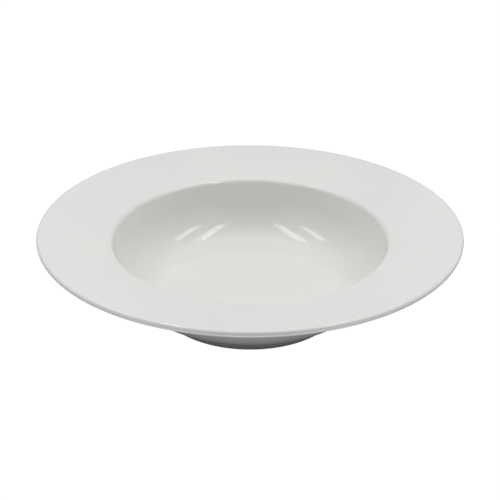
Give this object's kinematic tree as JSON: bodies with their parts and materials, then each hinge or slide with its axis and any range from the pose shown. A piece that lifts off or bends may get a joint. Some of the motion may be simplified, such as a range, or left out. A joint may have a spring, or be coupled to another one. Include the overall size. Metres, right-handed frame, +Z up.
{
  "type": "pasta bowl",
  "caption": "Round glazed ceramic bowl with a deep rounded well, a wide gently rising rim and a low foot ring, for serving pasta, soup or salad.",
  "frame": {"origin": "centre of the foot ring's standing face, on the bowl's axis at table level", "axes": "+Z up along the bowl's axis of revolution; +X and +Y lie in the table plane, and the bowl is the same all round"},
  "size_m": [0.3, 0.3, 0.065],
  "materials": {
    "fired_clay": "matte",
    "glaze": "gloss"
  },
  "bodies": {
    "root": {"clay_body": "fired_clay", "glaze_coat": "glaze", "base_glaze": "glaze"}
  },
  "joints": []
}
